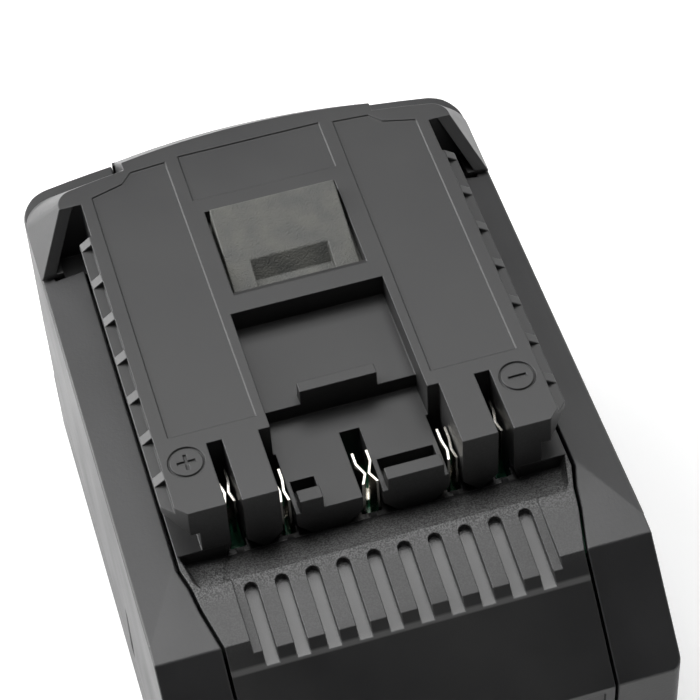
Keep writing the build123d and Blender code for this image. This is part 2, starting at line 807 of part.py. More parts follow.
# Cell holders, one at each end of the cells
for side, name in ((-1, "cell_holder_left"), (1, "cell_holder_right")):
    x0, x1 = sorted((side * holder_inner_x, side * (cell_end - holder_set_back)))
    with BuildPart() as holder:
        along([(holder_front_y + holder_corner, holder_low),
               (holder_rear_y - holder_corner, holder_low),
               (holder_rear_y, holder_low + holder_corner),
               (holder_rear_y, holder_high - holder_corner),
               (holder_rear_y - holder_corner, holder_high),
               (holder_front_y + holder_corner, holder_high),
               (holder_front_y, holder_high - holder_corner),
               (holder_front_y, holder_low + holder_corner)], x0, x1)
        with BuildSketch(Plane.YZ.offset(x0)) as bores:
            with Locations((cell_row_y, cell_low_z + cell_pitch / 2)):
                with GridLocations(cell_pitch, cell_pitch, cell_columns, 2):
                    Circle(cell_r + cell_play)
        extrude(bores.sketch, amount=x1 - x0, mode=Mode.SUBTRACT)
        # Posts for the circuit board and the seat of the latch spring
        for y in board_screw_ys:
            rod(side * post_x, y, holder_high - holder_wall, board_under, post_r)
            rod(side * post_x, y, holder_high, board_under, screw_r, mode=Mode.SUBTRACT)
        rod(side * spring_x, spring_y, holder_high - holder_wall, spring_foot,
            spring_coil_r + spring_wire_r)
        rod(side * spring_x, spring_y, spring_foot, spring_foot + spigot_height, spigot_r)
    holder.part.label = name
    export_step(holder.part, f"parts/{name}.step")

# Nickel strips: each joins one or two columns and rises to the board
strip_table = (
    ("strip_left_front", -1, 0, 0),
    ("strip_left_middle", -1, 1, 2),
    ("strip_left_rear", -1, 3, 4),
    ("strip_right_front", 1, 0, 1),
    ("strip_right_middle", 1, 2, 3),
    ("strip_right_rear", 1, 4, 4),
)
for name, side, first, last in strip_table:
    y0 = cell_row_y + (first - (cell_columns - 1) / 2) * cell_pitch - strip_half
    y1 = cell_row_y + (last - (cell_columns - 1) / 2) * cell_pitch + strip_half
    middle = (y0 + y1) / 2
    strip_low = cell_low_z - strip_overlap
    strip_high = cell_low_z + cell_pitch + strip_overlap
    x0, x1 = sorted((side * cell_end, side * (cell_end + strip_thickness)))
    with BuildPart() as strip:
        along([(y0, strip_low), (y1, strip_low), (y1, strip_high),
               (middle + tab_half, strip_high), (middle + tab_half, board_top + tab_over),
               (middle - tab_half, board_top + tab_over), (middle - tab_half, strip_high),
               (y0, strip_high)], x0, x1)
    strip.part.label = name
    export_step(strip.part, f"parts/{name}.step")

for side, name in ((-1, "insulator_left"), (1, "insulator_right")):
    sheet_x = cell_end + strip_thickness
    x0, x1 = sorted((side * sheet_x, side * (sheet_x + insulator_thickness)))
    with BuildPart() as insulator:
        with BuildSketch(Plane.YZ.offset(x0)) as sheet:
            with Locations((cell_row_y, (holder_low + holder_high) / 2)):
                RectangleRounded(holder_rear_y - holder_front_y - 2 * insulator_inset,
                                 holder_high - holder_low, insulator_corner)
        extrude(sheet.sketch, amount=x1 - x0)
    insulator.part.label = name
    export_step(insulator.part, f"parts/{name}.step")

with BuildPart() as foam_pad:
    block(-foam_half, foam_half, holder_front_y + holder_corner, holder_rear_y - holder_corner,
          pan_floor, cell_low_z - cell_r)
foam_pad.part.label = "foam_pad"
export_step(foam_pad.part, "parts/foam_pad.step")

# Circuit board, fork contacts and thermistor
with BuildPart() as circuit_board:
    block(-board_half, board_half, board_front_y, board_rear_y, board_under, board_top)
    fillet(circuit_board.edges().filter_by(Axis.Z), board_corner)
    for side in (-1, 1):
        rod(side * support_x, support_ys[0], board_under, board_top, post_r + seat_play,
            mode=Mode.SUBTRACT)
        for y in board_screw_ys:
            rod(side * post_x, y, board_under, board_top, screw_r + screw_play,
                mode=Mode.SUBTRACT)
circuit_board.part.label = "circuit_board"
export_step(circuit_board.part, "parts/circuit_board.step")

fork_names = ("plus", "sense_left", "middle", "sense_right", "minus")
for centre, width, start, label in zip(slot_centres, slot_widths, fork_starts, fork_names):
    half = width / 2 - fork_play
    y0 = block_y + start
    pinch_y = y0 + fork_length * fork_pinch_share
    back_y = y0 + fork_length * fork_back_share
    y1 = y0 + fork_length
    with BuildPart() as fork:
        for side in (-1, 1):
            path = [(half - fork_sheet, y0), (fork_pinch, pinch_y),
                    (half - fork_sheet, back_y), (half - fork_sheet, y1)]
            leaf = [(centre + side * x, y) for x, y in path]
            leaf += [(centre + side * (x + fork_sheet), y) for x, y in reversed(path)]
            upright(leaf, board_top, board_top + fork_height)
        block(centre - half, centre + half, back_y, y1, board_top, board_top + fork_foot)
    name = f"contact_{label}"
    fork.part.label = name
    export_step(fork.part, f"parts/{name}.step")

with BuildPart() as thermistor:
    bead_y = cell_row_y + cell_pitch / 2
    bead_rise = ((cell_r + thermistor_r) ** 2 - (cell_pitch / 2) ** 2) ** 0.5
    bead_z = cell_low_z + cell_pitch + bead_rise
    with BuildSketch(Plane.YZ.offset(-thermistor_half)) as bead:
        with Locations((bead_y, bead_z)):
            Circle(thermistor_r)
    extrude(bead.sketch, amount=2 * thermistor_half)
    for side in (-1, 1):
        rod(side * thermistor_r, bead_y, bead_z, board_under, lead_r)
thermistor.part.label = "thermistor"
export_step(thermistor.part, "parts/thermistor.step")

# Screws, each group of equal screws in one file as separate solids
with BuildPart() as case_screws:
    for x, y in case_screw_spots:
        rod(x, y, screw_sink - screw_head_height, screw_sink, screw_head_r)
        rod(x, y, screw_sink, screw_sink + case_screw_length, screw_r)
case_screws.part.label = "case_screws"
export_step(case_screws.part, "parts/case_screws.step")

with BuildPart() as board_screws:
    for side in (-1, 1):
        for y in board_screw_ys:
            rod(side * post_x, y, board_top, board_top + board_head_height, screw_head_r)
            rod(side * post_x, y, board_top - board_screw_length, board_top, screw_r)
board_screws.part.label = "board_screws"
export_step(board_screws.part, "parts/board_screws.step")
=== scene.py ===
import math
import bmesh
import bpy
from mathutils import Matrix, Vector
from mathutils.bvhtree import BVHTree


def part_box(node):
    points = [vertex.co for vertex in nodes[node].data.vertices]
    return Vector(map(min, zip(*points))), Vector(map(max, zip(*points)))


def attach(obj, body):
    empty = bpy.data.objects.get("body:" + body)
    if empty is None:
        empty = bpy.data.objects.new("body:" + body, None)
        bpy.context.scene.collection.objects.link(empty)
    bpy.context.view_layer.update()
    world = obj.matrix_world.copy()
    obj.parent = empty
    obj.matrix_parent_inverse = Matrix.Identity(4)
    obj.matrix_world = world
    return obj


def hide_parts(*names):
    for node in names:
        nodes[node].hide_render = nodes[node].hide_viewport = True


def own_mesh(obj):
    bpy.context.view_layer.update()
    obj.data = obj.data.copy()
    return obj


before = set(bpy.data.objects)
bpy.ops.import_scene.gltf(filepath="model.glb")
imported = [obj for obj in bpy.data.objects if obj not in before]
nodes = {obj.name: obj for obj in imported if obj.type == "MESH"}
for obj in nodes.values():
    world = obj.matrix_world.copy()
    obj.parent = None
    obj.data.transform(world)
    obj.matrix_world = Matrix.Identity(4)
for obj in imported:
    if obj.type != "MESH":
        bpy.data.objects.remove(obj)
scene = bpy.context.scene


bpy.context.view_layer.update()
MM = 0.001

# Places on the top cover that its cuts and its grain follow, in millimetres
plate_level = 65.0
block_front = -26.7
valley_level = 52.6
ledge_level = 55.4
pad_rear = -32.2
pad_level = 54.6
pad_slope = 2.0 / 11.5
pad_edge = -42.5


# Colours and material helpers
def linear(hex_colour):
    """Linear RGBA of an sRGB hex colour."""
    channels = [int(hex_colour[i:i + 2], 16) / 255 for i in (1, 3, 5)]
    lin = [c / 12.92 if c <= 0.04045 else ((c + 0.055) / 1.055) ** 2.4 for c in channels]
    return (*lin, 1.0)


def add_node(tree, kind, settings=None, inputs=None, links=None):
    """Adds one shader node with its settings, input values and incoming links."""
    made = tree.nodes.new(kind)
    for key, value in (settings or {}).items():
        setattr(made, key, value)
    for key, value in (inputs or {}).items():
        made.inputs[key].default_value = value
    for key, source in (links or {}).items():
        tree.links.new(source, made.inputs[key])
    return made


def blank_material(name):
    """Empty material with an output node; returns it, its tree and the output."""
    made = bpy.data.materials.new(name)
    made.use_nodes = True
    tree = made.node_tree
    tree.nodes.clear()
    return made, tree, add_node(tree, "ShaderNodeOutputMaterial")


def ramp(tree, source, low, high, start=0.3, end=0.7):
    """Colour that runs from one hex colour to another as a value rises."""
    made = add_node(tree, "ShaderNodeValToRGB", links={"Fac": source})
    made.color_ramp.elements[0].position = start
    made.color_ramp.elements[0].color = linear(low)
    made.color_ramp.elements[1].position = end
    made.color_ramp.elements[1].color = linear(high)
    return made.outputs["Color"]


def between(tree, source, low, high, to_low, to_high):
    """Value remapped from one span to another."""
    return add_node(tree, "ShaderNodeMapRange", inputs={"From Min": low, "From Max": high,
                    "To Min": to_low, "To Max": to_high}, links={"Value": source}).outputs["Result"]


def worked_out(tree, kind, first, second):
    """One arithmetic step between two shader values or numbers."""
    step = add_node(tree, "ShaderNodeMath", settings={"operation": kind})
    for socket, value in zip(step.inputs, (first, second)):
        if isinstance(value, (int, float)):
            socket.default_value = value
        else:
            tree.links.new(value, socket)
    return step.outputs["Value"]


def nose_texture(tree, place, grain, wear_and_painted_highlight, rough, tones, grain_depth):
    """Coarse grain in the valley that fades along the pad, and a painted highlight that makes the
    smooth groove floors paler.
    """
    spot = add_node(tree, "ShaderNodeSeparateXYZ", links={"Vector": place})
    along, level = spot.outputs["Y"], spot.outputs["Z"]
    behind = between(tree, along, (block_front + 0.1) * MM, (block_front - 0.9) * MM, 0.0, 1.0)
    fading = between(tree, along, (pad_rear - 3.8) * MM, (pad_rear - 0.8) * MM, 0.2, 1.0)
    ending = between(tree, along, (pad_edge - 1.0) * MM, (pad_edge + 0.2) * MM, 0.0, 1.0)
    nose = worked_out(tree, "MULTIPLY", worked_out(tree, "MULTIPLY", behind, fading), ending)
    # Depth below the ramp of the grip pad; the groove floors lie 1.2 to 1.4 mm below it
    fall = worked_out(tree, "MULTIPLY", worked_out(tree, "SUBTRACT", along, pad_rear * MM),
                      pad_slope)
    depth = worked_out(tree, "SUBTRACT", worked_out(tree, "ADD", fall, pad_level * MM), level)
    sunk = between(tree, depth, 0.9 * MM, 1.15 * MM, 0.0, 1.0)
    held = between(tree, depth, 1.45 * MM, 1.6 * MM, 1.0, 0.0)
    on_pad = between(tree, along, (pad_rear - 0.2) * MM, (pad_rear - 0.8) * MM, 0.0, 1.0)
    # Mask of the groove floors: it places the painted highlight there and also lowers the roughness
    painted_highlight_floor_share = worked_out(tree, "MULTIPLY", worked_out(tree, "MULTIPLY", sunk, held), on_pad)
    speckled = add_node(tree, "ShaderNodeMix", settings={"data_type": "RGBA"},
                        links={"Factor": nose, "A": wear_and_painted_highlight.outputs["Result"],
                               "B": ramp(tree, grain, tones[0], tones[1], 0.42, 0.6)})
    # Painted highlight: the groove floors take the pale third tone
    floors_with_painted_highlight = add_node(tree, "ShaderNodeMix", settings={"data_type": "RGBA"},
                        links={"Factor": painted_highlight_floor_share, "A": speckled.outputs["Result"]})
    floors_with_painted_highlight.inputs["B"].default_value = linear(tones[2])
    smoother = worked_out(tree, "SUBTRACT", rough, worked_out(tree, "MULTIPLY", painted_highlight_floor_share, 0.08))
    deep = between(tree, nose, 0.0, 1.0, grain_depth * MM, 0.12 * MM)
    return floors_with_painted_highlight, smoother, deep


def grained_skin(name, dark, light, rough_low, rough_high, grain_mm, grain_depth,
                 scuff="#8a8a88", scuff_share=0.25, nose_tones=None, drift_mm=18.2, edge_mm=0.2):
    """Matt to satin surface of a moulding, paper or foam: fine grain, slow drift of colour
    and gloss, and edges that rubbing has made paler."""
    made, tree, out = blank_material(name)
    place = add_node(tree, "ShaderNodeTexCoord").outputs["Object"]
    grain = add_node(tree, "ShaderNodeTexNoise", inputs={"Scale": 1 / (grain_mm * MM),
                     "Detail": 3.0, "Roughness": 0.55}, links={"Vector": place}).outputs["Fac"]
    drift = add_node(tree, "ShaderNodeTexNoise", inputs={"Scale": 1 / (drift_mm * MM), "Detail": 4.0},
                     links={"Vector": place}).outputs["Fac"]
    # Edges that hands and tools rub turn a little paler: there a rounded normal leaves the flat
    soft = add_node(tree, "ShaderNodeBevel", settings={"samples": 4},
                    inputs={"Radius": edge_mm * MM}).outputs["Normal"]
    flat = add_node(tree, "ShaderNodeNewGeometry").outputs["Normal"]
    same = add_node(tree, "ShaderNodeVectorMath", settings={"operation": "DOT_PRODUCT"})
    tree.links.new(soft, same.inputs[0])
    tree.links.new(flat, same.inputs[1])
    rubbed = between(tree, same.outputs["Value"], 0.99, 0.85, 0.0, scuff_share)
    wear_and_painted_highlight = add_node(tree, "ShaderNodeMix", settings={"data_type": "RGBA"},
                    links={"Factor": rubbed, "A": ramp(tree, drift, dark, light)})
    wear_and_painted_highlight.inputs["B"].default_value = linear(scuff)
    bump = add_node(tree, "ShaderNodeBump", inputs={"Strength": 0.8, "Distance": grain_depth * MM},
                    links={"Height": grain, "Normal": soft})
    rough = between(tree, drift, 0.3, 0.7, rough_low, rough_high)
    # On the cover's nose this adds the grain and the painted highlight on the groove floors
    if nose_tones:
        wear_and_painted_highlight, rough, deep = nose_texture(tree, place, grain, wear_and_painted_highlight, rough, nose_tones, grain_depth)
        tree.links.new(deep, bump.inputs["Distance"])
    skin = add_node(tree, "ShaderNodeBsdfPrincipled", inputs={"IOR": 1.52},
                    links={"Base Color": wear_and_painted_highlight.outputs["Result"],
                           "Roughness": rough, "Normal": bump.outputs["Normal"]})
    tree.links.new(skin.outputs["BSDF"], out.inputs["Surface"])
    return made


def sleeved_can(name, film, steel):
    """Shrink sleeve round the can of a cell, with the bare steel of its flat ends."""
    made, tree, out = blank_material(name)
    coordinates = add_node(tree, "ShaderNodeTexCoord")
    facing = add_node(tree, "ShaderNodeSeparateXYZ",
                      links={"Vector": coordinates.outputs["Normal"]}).outputs["X"]
    turned = add_node(tree, "ShaderNodeMath", settings={"operation": "ABSOLUTE"})
    tree.links.new(facing, turned.inputs[0])
    end = between(tree, turned.outputs["Value"], 0.75, 0.85, 0.0, 1.0)
    haze = add_node(tree, "ShaderNodeTexNoise", inputs={"Scale": 1 / (3.85 * MM), "Detail": 3.0},
                    links={"Vector": coordinates.outputs["Object"]}).outputs["Fac"]
    colour = add_node(tree, "ShaderNodeMix", settings={"data_type": "RGBA"},
                      links={"Factor": end, "A": ramp(tree, haze, film, "#2a7890")})
    colour.inputs["B"].default_value = linear(steel)
    skin = add_node(tree, "ShaderNodeBsdfPrincipled", inputs={"IOR": 1.5},
                    links={"Base Color": colour.outputs["Result"], "Metallic": end,
                           "Roughness": between(tree, haze, 0.3, 0.7, 0.24, 0.36)})
    tree.links.new(skin.outputs["BSDF"], out.inputs["Surface"])
    return made


def plated_metal(name, dark, light, rough_low, rough_high, streak_mm, metallic=1.0):
    """Plated or drawn metal: fine streaks, tarnish patches, slightly uneven gloss."""
    made, tree, out = blank_material(name)
    place = add_node(tree, "ShaderNodeTexCoord").outputs["Object"]
    stretched = add_node(tree, "ShaderNodeMapping", inputs={"Scale": (1.0, 1.0, 0.15)},
                         links={"Vector": place})
    streaks = add_node(tree, "ShaderNodeTexNoise", inputs={"Scale": 1 / (streak_mm * MM),
                       "Detail": 4.0}, links={"Vector": stretched.outputs["Vector"]})
    patches = add_node(tree, "ShaderNodeTexNoise", inputs={"Scale": 1 / (2.5 * MM), "Detail": 3.0},
                       links={"Vector": place})
    bump = add_node(tree, "ShaderNodeBump", inputs={"Strength": 0.3, "Distance": 0.02 * MM},
                    links={"Height": streaks.outputs["Fac"]})
    skin = add_node(tree, "ShaderNodeBsdfPrincipled", inputs={"Metallic": metallic},
                    links={"Base Color": ramp(tree, patches.outputs["Fac"], dark, light),
                           "Roughness": between(tree, streaks.outputs["Fac"], 0.3, 0.7,
                                                rough_low, rough_high),
                           "Normal": bump.outputs["Normal"]})
    tree.links.new(skin.outputs["BSDF"], out.inputs["Surface"])
    return made


# Glass-filled nylon of the cover, moulded in a spark-eroded tool: satin black. Its grain of
# about 0.05 mm is too fine to show, so it is drawn at 0.26 mm, and strongest in the valley
# The third nose tone is a painted highlight on the groove floors of the pad
cover_plastic = grained_skin("satin_black_cover_nylon", "#222223", "#2b2b2b", 0.40, 0.50,
                             0.26, 0.012, nose_tones=("#282828", "#5c5c5c", "#5c5c5c"),
                             edge_mm=0.1)
# The case is the same nylon from a smoother tool: a slightly sharper satin
case_plastic = grained_skin("satin_black_case_nylon", "#202021", "#29292a", 0.38, 0.48,
                            0.5, 0.03)
# Nylon of the catch from a coarsely eroded tool: rough grey, paler where the tool rubs it
catch_plastic = grained_skin("rough_grey_catch_nylon", "#434442", "#5c5c57", 0.46, 0.64,
                             0.3, 0.16, scuff="#94938d", scuff_share=0.5, drift_mm=3.85)
# Acetal of the release button, moulded in red: satin, with paler rubbed rims
button_plastic = grained_skin("satin_red_button_plastic", "#7a1512", "#8f1b17", 0.38, 0.48,
                              0.45, 0.03, scuff="#b05a50")
# Polycarbonate blend of the inner mouldings: plain matt black
holder_plastic = grained_skin("black_cell_holder_plastic", "#202021", "#2b2b2b", 0.5, 0.6,
                              0.7, 0.03)
# Shrink sleeve of the cells: glossy blue film over bright steel ends
sleeve_film = sleeved_can("blue_shrink_sleeve_on_steel", "#1d5f74", "#b4b3ae")
# Vulcanised fibre paper, calendered and cut: dull grey green
fibre_paper = grained_skin("grey_green_fibre_paper", "#7f8a78", "#98a28f", 0.75, 0.9,
                           0.8, 0.05)
# Closed-cell foam, skived: dull black with open pores of about 0.6 mm
black_foam = grained_skin("black_closed_cell_foam", "#1b1b1b", "#2a2a2a", 0.85, 0.95, 0.6, 0.15)
# Solder mask on glass-fibre laminate: smooth green gloss
solder_mask = grained_skin("green_solder_mask", "#0e5a3c", "#12694a", 0.25, 0.35, 0.6, 0.01)
# Epoxy of the thermistor bead, dipped: glossy black
epoxy = grained_skin("black_epoxy", "#151515", "#202020", 0.2, 0.3, 1.0, 0.02)
# Bright nickel plate on the stamped fork contacts: mirror-like with faint drawing streaks
bright_nickel = plated_metal("bright_nickel_plate", "#c9c5bb", "#e2dfd8", 0.12, 0.24, 0.3)
# Nickel strip, rolled: soft grey sheen along the rolling direction
rolled_nickel = plated_metal("rolled_nickel_strip", "#a9a59b", "#c1bdb4", 0.28, 0.42, 0.2)
# Zinc-plated screw steel and drawn spring wire: grey metal, the wire a little sharper
zinc_steel = plated_metal("zinc_plated_steel", "#9a9c9e", "#b9bbbd", 0.25, 0.4, 0.25)
spring_wire = plated_metal("drawn_spring_wire", "#8a8b8c", "#a7a8a9", 0.22, 0.36, 0.15)

node_finish = {
    "top_cover": cover_plastic, "body_case": case_plastic, "base_pan": case_plastic,
    "latch_catch": catch_plastic, "release_button": button_plastic,
    "foam_pad": black_foam, "circuit_board": solder_mask, "thermistor": epoxy,
    "case_screws": zinc_steel, "board_screws": zinc_steel,
}
family_finish = (
    ("cell_holder", holder_plastic), ("cell_", sleeve_film), ("strip_", rolled_nickel),
    ("contact_", bright_nickel), ("insulator_", fibre_paper), ("latch_spring_", spring_wire),
)
for name, obj in nodes.items():
    finish = node_finish.get(name)
    if finish is None:
        finish = next(value for start, value in family_finish if name.startswith(start))
    obj.data.materials.clear()
    obj.data.materials.append(finish)


# Mouldings with rounded edges
weld_reach = 0.002 * MM
flat_angle = math.radians(0.8)
sharp_angle = math.radians(24)
stray_share = 0.45


def add_piece(mesh, name, material, body):
    """Turns a finished bmesh into an object that rides on a body."""
    made = bpy.data.meshes.new(name)
    mesh.to_mesh(made)
    mesh.free()
    made.materials.append(material)
    piece = bpy.data.objects.new(name, made)
    scene.collection.objects.link(piece)
    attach(piece, body)
    return piece


def cut_by(mesh, cutter):
    """Returns a bmesh from which the solid of another bmesh has been cut."""
    blanks = []
    for part in (mesh, cutter):
        data = bpy.data.meshes.new("cutting_blank")
        part.to_mesh(data)
        part.free()
        blanks.append(bpy.data.objects.new("cutting_blank", data))
        scene.collection.objects.link(blanks[-1])
    cut = blanks[0].modifiers.new("cut", "BOOLEAN")
    cut.operation = "DIFFERENCE"
    cut.solver = "EXACT"
    cut.object = blanks[1]
    result = bmesh.new()
    result.from_object(blanks[0], bpy.context.evaluated_depsgraph_get())
    for blank in blanks:
        data = blank.data
        bpy.data.objects.remove(blank)
        bpy.data.meshes.remove(data)
    return result


def blended_normals(mesh, reach_degrees=60.0):
    """Corner normals that large flat faces keep and narrow rounded faces blend between."""
    reach = math.cos(math.radians(reach_degrees))
    to_mm4 = 1 / MM ** 4
    normals = []
    for polygon in mesh.polygons:
        normals += [None] * polygon.loop_total
    around = [[] for _ in mesh.vertices]
    for polygon in mesh.polygons:
        for vertex in polygon.vertices:
            around[vertex].append(polygon.index)
    faces = [(p.normal.copy(), p.area * p.area) for p in mesh.polygons]
    for polygon in mesh.polygons:
        own = faces[polygon.index][0]
        for loop in polygon.loop_indices:
            total = Vector((0.0, 0.0, 0.0))
            for index in around[mesh.loops[loop].vertex_index]:
                normal, weight = faces[index]
                if own.dot(normal) > reach:
                    total += normal * (weight * to_mm4)
            normals[loop] = total.normalized() if total.length > 0 else own
    mesh.normals_split_custom_set(normals)


def rounded_copy(node_name, piece_name, radius_mm, body, cutter=None, beads=()):
    """Copy of a CAD node whose sharp edges are rounded; it stands for the node."""
    source = nodes[node_name]
    mesh = bmesh.new()
    mesh.from_mesh(source.data)
    bmesh.ops.remove_doubles(mesh, verts=mesh.verts, dist=weld_reach)
    if cutter:
        mesh = cut_by(mesh, cutter)
    bmesh.ops.dissolve_limit(mesh, angle_limit=flat_angle, verts=mesh.verts, edges=mesh.edges)
    sharp = [e for e in mesh.edges if len(e.link_faces) == 2
             and e.calc_face_angle(0.0) > sharp_angle]
    before = BVHTree.FromBMesh(mesh)
    bmesh.ops.bevel(mesh, geom=sharp, offset=radius_mm * MM, offset_type="OFFSET", segments=2,
                    profile=0.5, affect="EDGES", clamp_overlap=False)
    # Where edges are too short for the rounding, its points go back to the old surface
    for vertex in mesh.verts:
        place, _, _, far = before.find_nearest(vertex.co)
        if far > radius_mm * MM * stray_share:
            vertex.co = place
    for face in mesh.faces:
        face.smooth = True
    for low, high in beads:
        made = bmesh.ops.create_cube(mesh, size=1.0)["verts"]
        bmesh.ops.scale(mesh, vec=Vector(high) - Vector(low), verts=made)
        bmesh.ops.translate(mesh, vec=(Vector(high) + Vector(low)) / 2, verts=made)
    piece = add_piece(mesh, piece_name, source.data.materials[0], body)
    blended_normals(piece.data)
    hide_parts(node_name)


# Cuts in the top cover: a plus and a minus, each in a ring, slopes, feet and hollows
def sunk_ring(mesh, centre, radius, width, depth, steps=64):
    """Ring-shaped cutter that reaches a depth below a level surface."""
    profile = ((-width / 2, -depth), (-width / 2, depth), (width / 2, depth), (width / 2, -depth))
    rows = []
    for k in range(steps):
        turn = 2 * math.pi * k / steps
        rows.append([mesh.verts.new((centre[0] + (radius + r) * math.cos(turn),
                                     centre[1] + (radius + r) * math.sin(turn),
                                     centre[2] + h)) for r, h in profile])
    for k in range(steps):
        here, there = rows[k], rows[(k + 1) % steps]
        for i in range(len(profile)):
            j = (i + 1) % len(profile)
            mesh.faces.new((here[i], here[j], there[j], there[i]))


def sunk_outline(mesh, centre, points, depth):
    """Cutter over an outline that runs anticlockwise round a centre."""
    low = [mesh.verts.new((centre[0] + x, centre[1] + y, centre[2] - depth)) for x, y in points]
    high = [mesh.verts.new((v.co.x, v.co.y, centre[2] + depth)) for v in low]
    mesh.faces.new(list(reversed(low)))
    mesh.faces.new(high)
    for k in range(len(points)):
        j = (k + 1) % len(points)
        mesh.faces.new((low[k], low[j], high[j], high[k]))


def cross_outline(arm, half, both):
    """Outline of a plus, or of a minus when only its level bar is wanted."""
    quarter = ((half, half), (half, arm), (-half, arm), (-half, half)) if both else ()
    points = [(arm, -half), (arm, half), *quarter, (-arm, half), (-arm, -half)]
    points += [(-x, -y) for x, y in quarter]
    return points


def sunk_wedge(mesh, first, second):
    """Cutter between two four-cornered sections, given in millimetres."""
    ends = [[mesh.verts.new(Vector(corner) * MM) for corner in section]
            for section in (first, second)]
    mesh.faces.new(ends[0])
    mesh.faces.new(ends[1])
    for k in range(4):
        j = (k + 1) % 4
        mesh.faces.new((ends[0][k], ends[0][j], ends[1][j], ends[1][k]))


cover_cuts = bmesh.new()
for side, both in ((-1, True), (1, False)):
    spot = (side * 24.85 * MM, -17.75 * MM, plate_level * MM)
    sunk_ring(cover_cuts, spot, 2.56 * MM, 0.3 * MM, 0.3 * MM)
    sunk_outline(cover_cuts, spot, cross_outline(1.35 * MM, 0.22 * MM, both), 0.35 * MM)

# Shallow slope along the near edge of the latch window, as (y, z)
window_slope = ((10.2, plate_level + 0.02), (12.1, plate_level - 0.9),
                (12.1, plate_level + 0.3), (10.2, plate_level + 0.3))
window_half = 10.4
sunk_wedge(cover_cuts, [(-window_half, y, z) for y, z in window_slope],
           [(window_half, y, z) for y, z in window_slope])

# Cut corners at the feet of the block, where each contact slot meets the valley:
# middle of the slot, its half width and how far the cut reaches to either side
slot_feet = ((-20.15, 1.15, 0.8, 2.3), (-12.55, 1.02, 2.3, 2.3), (0.0, 1.5, 2.3, 2.3),
             (12.55, 1.02, 2.3, 2.3), (20.15, 1.15, 2.3, 0.8))
foot_low = valley_level + 0.07
foot_high = valley_level + 2.7
for middle, half, left, right in slot_feet:
    foot = ((middle - half - left, foot_low), (middle + half + right, foot_low),
            (middle + half, foot_high), (middle - half, foot_high))
    sunk_wedge(cover_cuts, [(x, block_front - 0.15, z) for x, z in foot],
               [(x, block_front + 2.3, z) for x, z in foot])

# Hollows in which the valley ends beside the seam, from the block to the pad, as (x, z)
hollow_top = ledge_level + 0.1
hollow_rear = ((22.2, valley_level + 0.06), (28.4, valley_level + 0.3),
               (29.2, hollow_top), (22.2, hollow_top))
hollow_front = ((22.2, ledge_level - 0.5), (27.4, ledge_level - 0.5),
                (28.1, hollow_top), (22.2, hollow_top))
for side in (-1, 1):
    sunk_wedge(cover_cuts, [(side * x, block_front + 0.1, z) for x, z in hollow_rear],
               [(side * x, pad_rear - 0.5, z) for x, z in hollow_front])
bmesh.ops.recalc_face_normals(cover_cuts, faces=cover_cuts.faces)

# Beads that close the slits between the skirt of the cover and the rear wall
skirt_beads = [((x * MM, 51.6 * MM, 28.2 * MM), ((x + 0.65) * MM, 52.2 * MM, 55.0 * MM))
               for x in (-20.65, 20.0)]
rounded_copy("top_cover", "cover_moulding", 0.14, "pack", cover_cuts, skirt_beads)
rounded_copy("body_case", "case_moulding", 0.3, "pack")
rounded_copy("base_pan", "pan_moulding", 0.3, "pack")
rounded_copy("latch_catch", "catch_moulding", 0.2, "latch")
rounded_copy("release_button", "button_moulding", 0.3, "latch")


# Screws with their threads and sockets
def islands(node_name):
    """Box of every separate solid of a CAD node."""
    mesh = bmesh.new()
    mesh.from_mesh(nodes[node_name].data)
    bmesh.ops.remove_doubles(mesh, verts=mesh.verts, dist=weld_reach)
    left = set(mesh.verts)
    boxes = []
    while left:
        wave = [left.pop()]
        found = list(wave)
        while wave:
            wave = [e.other_vert(v) for v in wave for e in v.link_edges]
            wave = [v for v in set(wave) if v in left]
            left.difference_update(wave)
            found += wave
        boxes.append([[min(v.co[i] for v in found) for i in range(3)],
                      [max(v.co[i] for v in found) for i in range(3)]])
    mesh.free()
    return sorted(boxes)


def lathe(mesh, centre, rows, round_steps):
    """Closed solid from rows of (level, radius as a function of the turn)."""
    rings = []
    for level, radius in rows:
        turns = [2 * math.pi * k / round_steps for k in range(round_steps)]
        rings.append([mesh.verts.new((centre[0] + radius(t) * math.cos(t),
                                      centre[1] + radius(t) * math.sin(t), level))
                      for t in turns])
    for low, high in zip(rings, rings[1:]):
        for k in range(round_steps):
            j = (k + 1) % round_steps
            mesh.faces.new((low[k], low[j], high[j], high[k]))
    mesh.faces.new(list(reversed(rings[0])))
    mesh.faces.new(rings[-1])


def threaded_screws(node_name, piece_name, head_mm, shank_mm, pitch_mm, head_down):
    """Group of screws with a six-lobed socket and a cut thread; it stands for the node."""
    mesh = bmesh.new()
    for low, high in islands(node_name):
        centre = ((low[0] + high[0]) / 2, (low[1] + high[1]) / 2)
        head = (high[0] - low[0]) / 2
        root = shank_mm * MM
        face, way = (low[2], 1) if head_down else (high[2], -1)
        length = high[2] - low[2] - head_mm * MM
        socket = head_mm * MM * 0.6

        def lobes(t, head=head):
            return head * 0.45 * (1 + 0.16 * math.cos(6 * t))

        rows = [(face + way * socket, lobes), (face, lobes),
                (face, lambda t, head=head: head * 0.9),
                (face + way * head * 0.1, lambda t, head=head: head),
                (face + way * head_mm * MM, lambda t, head=head: head)]
        steps = round(length / (pitch_mm * MM) * 4)
        for k in range(steps + 1):
            level = face + way * (head_mm * MM + length * k / steps)
            phase = length * k / steps / (pitch_mm * MM)

            def thread(t, phase=phase):
                turn = (phase - t / (2 * math.pi)) % 1.0
                return root * (1.0 - 0.2 * (1 - abs(2 * turn - 1)))

            rows.append((level, thread))
        lathe(mesh, centre, rows, 24)
    bmesh.ops.recalc_face_normals(mesh, faces=mesh.faces)
    for face_made in mesh.faces:
        face_made.smooth = True
    piece = add_piece(mesh, piece_name, zinc_steel, "pack")
    piece.data.set_sharp_from_angle(angle=math.radians(35))
    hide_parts(node_name)


threaded_screws("case_screws", "case_screw_set", 1.6, 1.2, 0.9, True)
threaded_screws("board_screws", "board_screw_set", 1.0, 1.2, 0.9, False)


